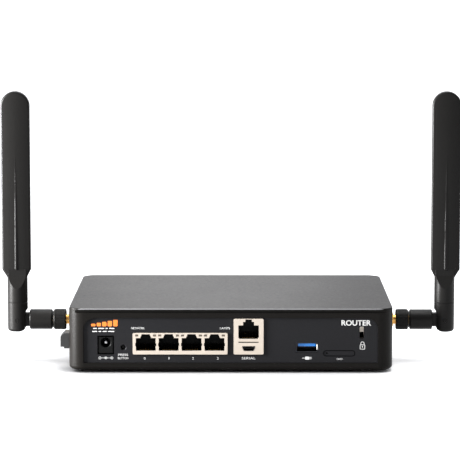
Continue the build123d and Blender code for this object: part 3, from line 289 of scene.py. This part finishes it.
def rubber(name):
    """Soft dark rubber with a little dust on it."""
    material, shader, place = new_finish(name)
    dust = noise(place, 0.004, detail=4.0)
    feed(shader, place, blend_colours(dust, grey(0.012), grey(0.03)), dust * 0.15 + 0.75,
         noise(place, 0.0005), 0.00003)
    return material


def circuit_board(name):
    """Green solder mask over copper pour, with rows of pads."""
    material, shader, place = new_finish(name, coat=0.4)
    traces = place.node("ShaderNodeTexVoronoi", {"Vector": place, "Scale": PADS_PER_METRE},
                        output="Distance", distance="CHEBYCHEV")
    edge = traces.ramp(0.40, 0.46)
    feed(shader, place, blend_colours(edge, (0.010, 0.075, 0.030), (0.02, 0.16, 0.06)),
         edge * 0.1 + 0.38, edge, 0.00003)
    return material


def lamp_plastic(name):
    """Tan light guide with a slightly cloudy depth."""
    material, shader, place = new_finish(name, coat=0.5)
    cloud = noise(place, 0.0012)
    feed(shader, place, blend_colours(cloud, (0.028, 0.018, 0.012), (0.11, 0.076, 0.044)),
         cloud * 0.2 + 0.30, cloud, 0.00001)
    return material


def print_ink(name, colour):
    """Screen-printed ink with a faintly uneven edge and cover."""
    material, shader, place = new_finish(name)
    cover = noise(place, 0.0005, detail=3.0)
    toned_colour = [c * 0.86 for c in colour]
    feed(shader, place, blend_colours(cover, toned_colour, colour), cover * 0.15 + 0.45, cover, 0.000008)
    return material


# Every size is in metres. The painted highlight, a pale band on the lid's upper edge, lies within
# the inward pair below of the lid's outline and the downward pair of its top, each from where it
# starts to where it is full.
CASE_HALF_W, CASE_HALF_D, CASE_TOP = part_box("top_cover")[1]
# Colour of the painted highlight on the lid's upper edge.
EDGE_HIGHLIGHT_PAINT = (0.16, 0.16, 0.165)
EDGE_HIGHLIGHT_IN = (-0.0006, -0.0002)
EDGE_HIGHLIGHT_DOWN = (-0.0008, -0.0005)
POWDER_GRAIN = 0.0007
POWDER_PEEL = 0.0022
POWDER_HEIGHT = 0.00005
TOOL_MARK_SIZE = 0.0008
TOOL_MARK_HEIGHT = 0.000004
COAT_ROUGHNESS = 0.1
PADS_PER_METRE = 260.0

finishes = {
    "case_black": powder_coat("case_powder_black", (0.0044, 0.0038, 0.0033), 0.37, 0.08),
    "panel_charcoal": moulded("panel_charcoal", (0.0108, 0.0108, 0.0119), 0.5, grain=0.0004,
                              specular=0.06),
    "jack_metal": plated("socket_shell_plating", (0.44, 0.385, 0.325), 0.42, metallic=0.2),
    # The flat data socket's metal shell is plated near black: painted shade for the dark inside of
    # the socket.
    "data_port_metal": plated("data_port_plating_painted_shade", (0.035, 0.035, 0.038), 0.30),
    "socket_black": moulded("socket_black", (0.003, 0.003, 0.003), 0.5, specular=0.1),
    "contact_gold": plated("contact_gold", (0.32, 0.20, 0.08), 0.3),
    "lamp_amber": lamp_plastic("lamp_guide_tan"),
    "tongue_blue": moulded("data_tongue_blue", (0.006, 0.14, 0.46), 0.35),
    "button_grey": moulded("button_grey", (0.003, 0.003, 0.003), 0.4, specular=0.1),
    "antenna_black": moulded("antenna_black", (0.0062, 0.0059, 0.0056), 0.36, grain=0.0005,
                             grain_height=0.00005, specular=0.10),
    "jack_gold": plated("jack_gold", (1.0, 0.62, 0.20), 0.18, brushed=(8.0, 1.0, 1.0)),
    "steel": plated("screw_steel", (0.56, 0.56, 0.57), 0.35),
    "rubber_black": rubber("foot_rubber"),
    "board_green": circuit_board("board_green"),
    "chip_black": moulded("chip_black", (0.012, 0.012, 0.013), 0.55, grain=0.0003),
    "sink_aluminium": plated("sink_aluminium", (0.75, 0.75, 0.76), 0.38, brushed=(1.0, 0.05, 1.0)),
    "pad_grey": moulded("thermal_pad_grey", (0.30, 0.31, 0.33), 0.8),
    "insulator_white": moulded("insulator_white", (0.80, 0.79, 0.75), 0.4),
    "lead_black": moulded("lead_black", (0.02, 0.02, 0.02), 0.45),
    "lens_clear": moulded("status_lens_smoked", (0.05, 0.05, 0.055), 0.2, coat=0.6),
}
own_finishes = {
    "cord_clip": moulded("clip_grey", (0.016, 0.016, 0.016), 0.45, grain=0.0005, specular=0.3),
    # The lock plate's paler plating is painted light, making up for the light that the lock slot's
    # recess keeps off it.
    "lock_plate": plated("lock_plate_painted_light", (0.80, 0.72, 0.62), 0.4, metallic=0.1),
}
# Black with no gloss: painted shadow for the seam round the card tray.
painted_gap_shadow = moulded("painted_gap_shadow", (0.001, 0.001, 0.001), 0.9, specular=0.0)
white_ink = print_ink("print_white", (0.56, 0.56, 0.55))
orange_ink = print_ink("print_orange", (0.70, 0.165, 0.012))


def paint_cad_nodes():
    """Give each CAD node its own finish if it has one, and otherwise the finish of its slot."""
    for subpart in frame["record"]["subparts"]:
        slots = frame["nodes"][subpart["node"]].data.materials
        slots.clear()
        slots.append(own_finishes.get(subpart["node"], finishes[subpart["material_slot"]]))


# ======== New pieces ========

def piece_from(name, mesh, finish, body):
    """Put a finished mesh in the scene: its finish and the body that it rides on."""
    mesh.materials.clear()
    mesh.materials.append(finish)
    piece = bpy.data.objects.new(name, mesh)
    bpy.context.scene.collection.objects.link(piece)
    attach(piece, body)
    return piece


def mesh_from(name, shape):
    """Turn a shape's faces outwards and make it a mesh."""
    bmesh.ops.recalc_face_normals(shape, faces=shape.faces)
    mesh = bpy.data.meshes.new(name)
    shape.to_mesh(mesh)
    shape.free()
    return mesh


# ======== Print on the socket panel ========

# Prints are given in millimetres, across the panel and up from the floor.
INK_DEPTH = 0.04 * MM
ARC_STEPS = 24
BAR_END_STEPS = 4
PANEL_FACE_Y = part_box("front_panel")[0].y

# Each port number's middle and half its width.
PORT_NUMBERS = ((-53.0, 0.5), (-38.0, 0.25), (-23.2, 0.5), (-8.0, 0.5))
PORT_NUMBER_Z = (8.2, 9.7)

# Each word's name, letters, limits across, limits up and how much its strokes are thickened.
WORDS = (
    ("label_network", "NETWORK", (-61.2, -53.0), (27.1, 28.4), 0.0),
    ("label_lamps", "LAMPS", (-6.6, -0.5), (27.1, 28.4), 0.0),
    ("label_press", "PRESS", (-69.3, -63.3), (10.5, 11.8), 0.0),
    ("label_button", "BUTTON", (-69.5, -63.1), (8.4, 9.7), 0.0),
    ("label_serial", "SERIAL", (6.8, 15.3), (8.3, 9.8), 0.0),
    ("label_card", "CARD", (65.2, 68.8), (8.0, 9.2), 0.0),
    ("label_title", "ROUTER", (68.1, 86.3), (29.4, 32.8), 0.02),
)

BAR_COUNT = 5
BAR_LEFT = -85.9
BAR_PITCH = 3.4
BAR_WIDTH = 2.7
BAR_FOOT = 28.9
FIRST_BAR_TOP = 30.5
BAR_RISE = 0.6
BAR_ROUNDING = 0.6

# Each row of dashes: its foot, its left end and its dashes' lengths.
DASH_ROWS = ((27.3, -84.6, (2.2, 3.6, 1.4, 3.2)), (25.4, -85.2, (3.0, 1.6, 2.4, 3.8)))
DASH_HEIGHT = 0.6
DASH_GAP = 0.9
DASH_ROUNDING = 0.2

# The card tray's clearance, and the width of the painted shadow line over it.
CARD_GAP_CLEAR = 0.12
CARD_GAP_SHADOW_WIDTH = 0.34


def print_text(name, text, x_range, z_range, bold=0.0):
    """Print a word or number so that it fills its limits."""
    curve = bpy.data.curves.new(name, "FONT")
    curve.body = text
    curve.offset = bold
    curve.extrude = 0.02
    holder = bpy.data.objects.new(name + "_curve", curve)
    bpy.context.scene.collection.objects.link(holder)
    bpy.context.view_layer.update()
    mesh = bpy.data.meshes.new_from_object(holder)
    bpy.data.objects.remove(holder)
    low = Vector([min(v.co[i] for v in mesh.vertices) for i in range(3)])
    high = Vector([max(v.co[i] for v in mesh.vertices) for i in range(3)])
    size = high - low
    fit = Matrix.Diagonal(((x_range[1] - x_range[0]) * MM / size.x,
                           (z_range[1] - z_range[0]) * MM / size.y, INK_DEPTH / size.z, 1.0))
    stand = Matrix.Rotation(math.pi / 2, 4, "X")
    place = Matrix.Translation((x_range[0] * MM, PANEL_FACE_Y, z_range[0] * MM))
    mesh.transform(place @ stand @ fit @ Matrix.Translation(-low))
    mesh.name = name
    return piece_from(name, mesh, white_ink, "case")


def ink_bar(shape, x_range, z_range, rounding=0.0):
    """Add a bar to a print, with its corners rounded if asked."""
    middle = (sum(x_range) * MM / 2, PANEL_FACE_Y - INK_DEPTH / 2, sum(z_range) * MM / 2)
    size = ((x_range[1] - x_range[0]) * MM, INK_DEPTH, (z_range[1] - z_range[0]) * MM)
    place = Matrix.Translation(middle) @ Matrix.Diagonal((*size, 1.0))
    bar = bmesh.ops.create_cube(shape, size=1.0, matrix=place)["verts"]
    if rounding:
        corners = [edge for edge in {edge for corner in bar for edge in corner.link_edges}
                   if abs(edge.verts[0].co.y - edge.verts[1].co.y) > INK_DEPTH / 2]
        bmesh.ops.bevel(shape, geom=corners, offset=rounding * MM, affect="EDGES",
                        segments=BAR_END_STEPS, profile=0.5, material=-1)


def ink_ring(shape, centre, radius, width, start=0.0, sweep=FULL_TURN):
    """Add a ring to a print, or an arc that starts at an angle from +X, in radians."""
    hub = Vector((centre[0] * MM, PANEL_FACE_Y, centre[1] * MM))
    turn = Matrix.Translation(hub) @ Matrix.Rotation(-start, 4, "Y")
    section = [shape.verts.new(turn @ Vector(((radius + side * width / 2) * MM, y, 0.0)))
               for side, y in ((-1, 0.0), (1, 0.0), (1, -INK_DEPTH), (-1, -INK_DEPTH))]
    rim = [shape.edges.new((section[i - 1], section[i])) for i in range(4)]
    closed = sweep == FULL_TURN
    swept = bmesh.ops.spin(shape, geom=section + rim, cent=hub, axis=(0.0, -1.0, 0.0),
                           angle=sweep, steps=ARC_STEPS, use_merge=closed)
    if not closed:
        last = [item for item in swept["geom_last"] if isinstance(item, bmesh.types.BMEdge)]
        bmesh.ops.edgenet_fill(shape, edges=rim)
        bmesh.ops.edgenet_fill(shape, edges=last)


def finish_print(name, shape, ink):
    """Put a finished print on the case."""
    return piece_from(name, mesh_from(name, shape), ink, "case")


def print_words():
    """Port numbers and plain words, with a broad title at the right."""
    for number, (middle, half) in enumerate(PORT_NUMBERS):
        print_text(f"port_number_{number}", str(number), (middle - half, middle + half),
                   PORT_NUMBER_Z)
    for name, text, x_range, z_range, bold in WORDS:
        print_text(name, text, x_range, z_range, bold)


def print_signal_bars():
    """Orange bars that rise to the right."""
    bars = bmesh.new()
    for step in range(BAR_COUNT):
        left = BAR_LEFT + BAR_PITCH * step
        ink_bar(bars, (left, left + BAR_WIDTH), (BAR_FOOT, FIRST_BAR_TOP + BAR_RISE * step),
                rounding=BAR_ROUNDING)
    finish_print("mark_signal_bars", bars, orange_ink)


def print_dashes():
    """Two rows of short dashes under the bars."""
    rows = bmesh.new()
    for foot, left, lengths in DASH_ROWS:
        for length in lengths:
            ink_bar(rows, (left, left + length), (foot, foot + DASH_HEIGHT),
                    rounding=DASH_ROUNDING)
            left += length + DASH_GAP
    finish_print("mark_dashes", rows, white_ink)


def print_polarity():
    """Three rings in a row: minus at the left, the plug's pin in the middle, plus at the right."""
    sign = bmesh.new()
    for x in (-80.6, -76.9, -73.2):
        ink_ring(sign, (x, 9.2), 0.68, 0.24)
    ink_ring(sign, (-76.9, 9.2), 0.16, 0.30)
    for left, right in ((-79.9, -77.6), (-76.2, -73.9), (-80.95, -80.25), (-73.55, -72.85)):
        ink_bar(sign, (left, right), (9.1, 9.3))
    ink_bar(sign, (-73.3, -73.1), (8.85, 9.55))
    finish_print("mark_polarity", sign, white_ink)


def print_padlock():
    """Outline of a padlock with its keyhole, under the lock slot."""
    lock = bmesh.new()
    for x_range in ((79.5, 79.85), (82.35, 82.7)):
        ink_bar(lock, x_range, (14.6, 17.6))
    for z_range in ((14.6, 14.95), (17.25, 17.6)):
        ink_bar(lock, (79.5, 82.7), z_range)
    ink_ring(lock, (81.1, 18.3), 1.0, 0.35, sweep=math.pi)
    for x in (80.1, 82.1):
        ink_bar(lock, (x - 0.175, x + 0.175), (17.6, 18.3))
    ink_ring(lock, (81.1, 16.4), 0.18, 0.28)
    ink_bar(lock, (80.98, 81.22), (15.5, 16.3))
    finish_print("mark_padlock", lock, white_ink)


def print_plug():
    """A plug on a short lead, under the flat data socket."""
    plug = bmesh.new()
    ink_bar(plug, (44.0, 45.9), (9.0, 9.3))
    ink_bar(plug, (45.9, 48.3), (8.2, 10.1), rounding=0.3)
    for bottom in (8.55, 9.4):
        ink_bar(plug, (48.3, 49.8), (bottom, bottom + 0.35))
    finish_print("mark_plug", plug, white_ink)


def outline_card_slot():
    """Painted shadow: a black line on the panel face round the card tray's head, standing in for
    the shade in the seam there.
    """
    low, high = (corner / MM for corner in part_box("sim_tray"))
    middle = (low.z + high.z) / 2
    radius = (high.z - low.z) / 2 + CARD_GAP_CLEAR
    ends = (low.x - CARD_GAP_CLEAR + radius, high.x + CARD_GAP_CLEAR - radius)
    half_width = CARD_GAP_SHADOW_WIDTH / 2
    gap = bmesh.new()
    ink_ring(gap, (ends[0], middle), radius, CARD_GAP_SHADOW_WIDTH, start=math.pi / 2, sweep=math.pi)
    ink_ring(gap, (ends[1], middle), radius, CARD_GAP_SHADOW_WIDTH, start=-math.pi / 2, sweep=math.pi)
    for z in (middle - radius, middle + radius):
        ink_bar(gap, ends, (z - half_width, z + half_width))
    finish_print("card_slot_gap_shadow", gap, painted_gap_shadow)


# ======== Data port painted highlight and antenna jacks ===

# Painted highlight inside the flat data socket: a pale strip on its right wall stands in for the
# light that falls there.
HIGHLIGHT_SHARE = 0.56
HIGHLIGHT_WIDTH, HIGHLIGHT_DEPTH = 0.7 * MM, 0.6 * MM
HIGHLIGHT_INSET, HIGHLIGHT_BACK = 0.2 * MM, 0.15 * MM
HIGHLIGHT_BEVEL = 0.12 * MM

# Millimetres. The jacks share one axis along X with the antennas' nuts and swivels.
AERIAL_Y, AERIAL_Z = -30.0, 26.4
ROUND_STEPS, HEXAGON_STEPS = 64, 6
JACK_INNER_X, JACK_OUTER_X = 87.0, 109.0
STEM_R, THREAD_R, THREAD_ROOT_R, BORE_R = 2.6, 3.17, 2.86, 2.3
THREAD_PITCH = 25.4 / 36
THREAD_TURNS = 11
THREAD_FROM_X, THREAD_TO_X = 100.5, 108.5
# Where one groove's sides start and end, from the start of its turn.
GROOVE = ((0.10, THREAD_R), (0.32, THREAD_ROOT_R), (0.40, THREAD_ROOT_R), (0.62, THREAD_R))
BORE_END_X = 96.0
FLANGE_X = (95.00, 97.50)
FLANGE_R = 4.6
CHAMFER = 0.3


def add_data_port_lip():
    """Painted highlight: a pale strip on the right inside wall of the flat data socket, standing
    in for the light that falls there.
    """
    low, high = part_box("usb_port_shell")
    tall = high.z - low.z
    highlight_strip = bmesh.new()
    place = Matrix.Translation((high.x - HIGHLIGHT_INSET, low.y + HIGHLIGHT_BACK, low.z + tall * HIGHLIGHT_SHARE))
    size = Matrix.Diagonal((HIGHLIGHT_WIDTH, HIGHLIGHT_DEPTH, tall * HIGHLIGHT_SHARE, 1.0))
    bmesh.ops.create_cube(highlight_strip, size=1.0, matrix=place @ size)
    bmesh.ops.bevel(highlight_strip, geom=highlight_strip.edges, offset=HIGHLIGHT_BEVEL, affect="EDGES", segments=2,
                    profile=0.5, material=-1)
    highlight_paint = plated("data_port_highlight_paint", (0.80, 0.77, 0.72), 0.4, metallic=0.2)
    finish_print("data_port_painted_highlight", highlight_strip, highlight_paint)


def turned(shape, profile, steps):
    """Add a solid turned about the antennas' axis from points of (x, radius)."""
    points = [shape.verts.new((x * MM, AERIAL_Y * MM, (AERIAL_Z + radius) * MM))
              for x, radius in profile]
    runs = [shape.edges.new(pair) for pair in zip(points, points[1:])]
    bmesh.ops.spin(shape, geom=points + runs, cent=(0.0, AERIAL_Y * MM, AERIAL_Z * MM),
                   axis=(1.0, 0.0, 0.0), angle=FULL_TURN, steps=steps, use_merge=True)


def jack_profile():
    """One jack from its pole inside the case, out along its thread and back down its bore."""
    profile = [(JACK_INNER_X, 0.0), (JACK_INNER_X, 2.4), (87.2, STEM_R), (FLANGE_X[1], STEM_R),
               (FLANGE_X[1], THREAD_R), (100.4, THREAD_R)]
    for turn in range(THREAD_TURNS):
        start = THREAD_FROM_X + turn * THREAD_PITCH
        profile += [(start + along, radius) for along, radius in GROOVE]
    return profile + [(THREAD_TO_X, THREAD_R), (JACK_OUTER_X, 2.85), (JACK_OUTER_X, 2.4),
                      (108.9, BORE_R), (BORE_END_X, BORE_R), (BORE_END_X, 0.0)]


def add_jacks():
    """Coaxial jacks through the side walls: hexagon flange inside, thread and bore outside."""
    flange = [(FLANGE_X[0], 0.0), (FLANGE_X[0], FLANGE_R - CHAMFER),
              (FLANGE_X[0] + CHAMFER, FLANGE_R), (FLANGE_X[1], FLANGE_R), (FLANGE_X[1], 0.0)]
    shape = bmesh.new()
    for side in (-1, 1):
        turned(shape, [(side * x, radius) for x, radius in jack_profile()], ROUND_STEPS)
        turned(shape, [(side * x, radius) for x, radius in flange], HEXAGON_STEPS)
    bmesh.ops.remove_doubles(shape, verts=shape.verts, dist=1e-6)
    bmesh.ops.dissolve_degenerate(shape, edges=shape.edges, dist=1e-7)
    jacks = piece_from("jacks_turned", mesh_from("jacks_turned", shape), finishes["jack_gold"],
                       "case")
    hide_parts("antenna_jacks")


# ======== The whole router ========

add_camera()
add_world()
lights = {name: add_area_light(name, *setting) for name, setting in LIGHTS.items()}
keep_off(lights["softbox_left"], add_floor())
bpy.context.scene.view_settings.view_transform = "Standard"
paint_cad_nodes()
add_jacks()
print_words()
print_signal_bars()
print_dashes()
print_polarity()
print_padlock()
print_plug()
outline_card_slot()
add_data_port_lip()
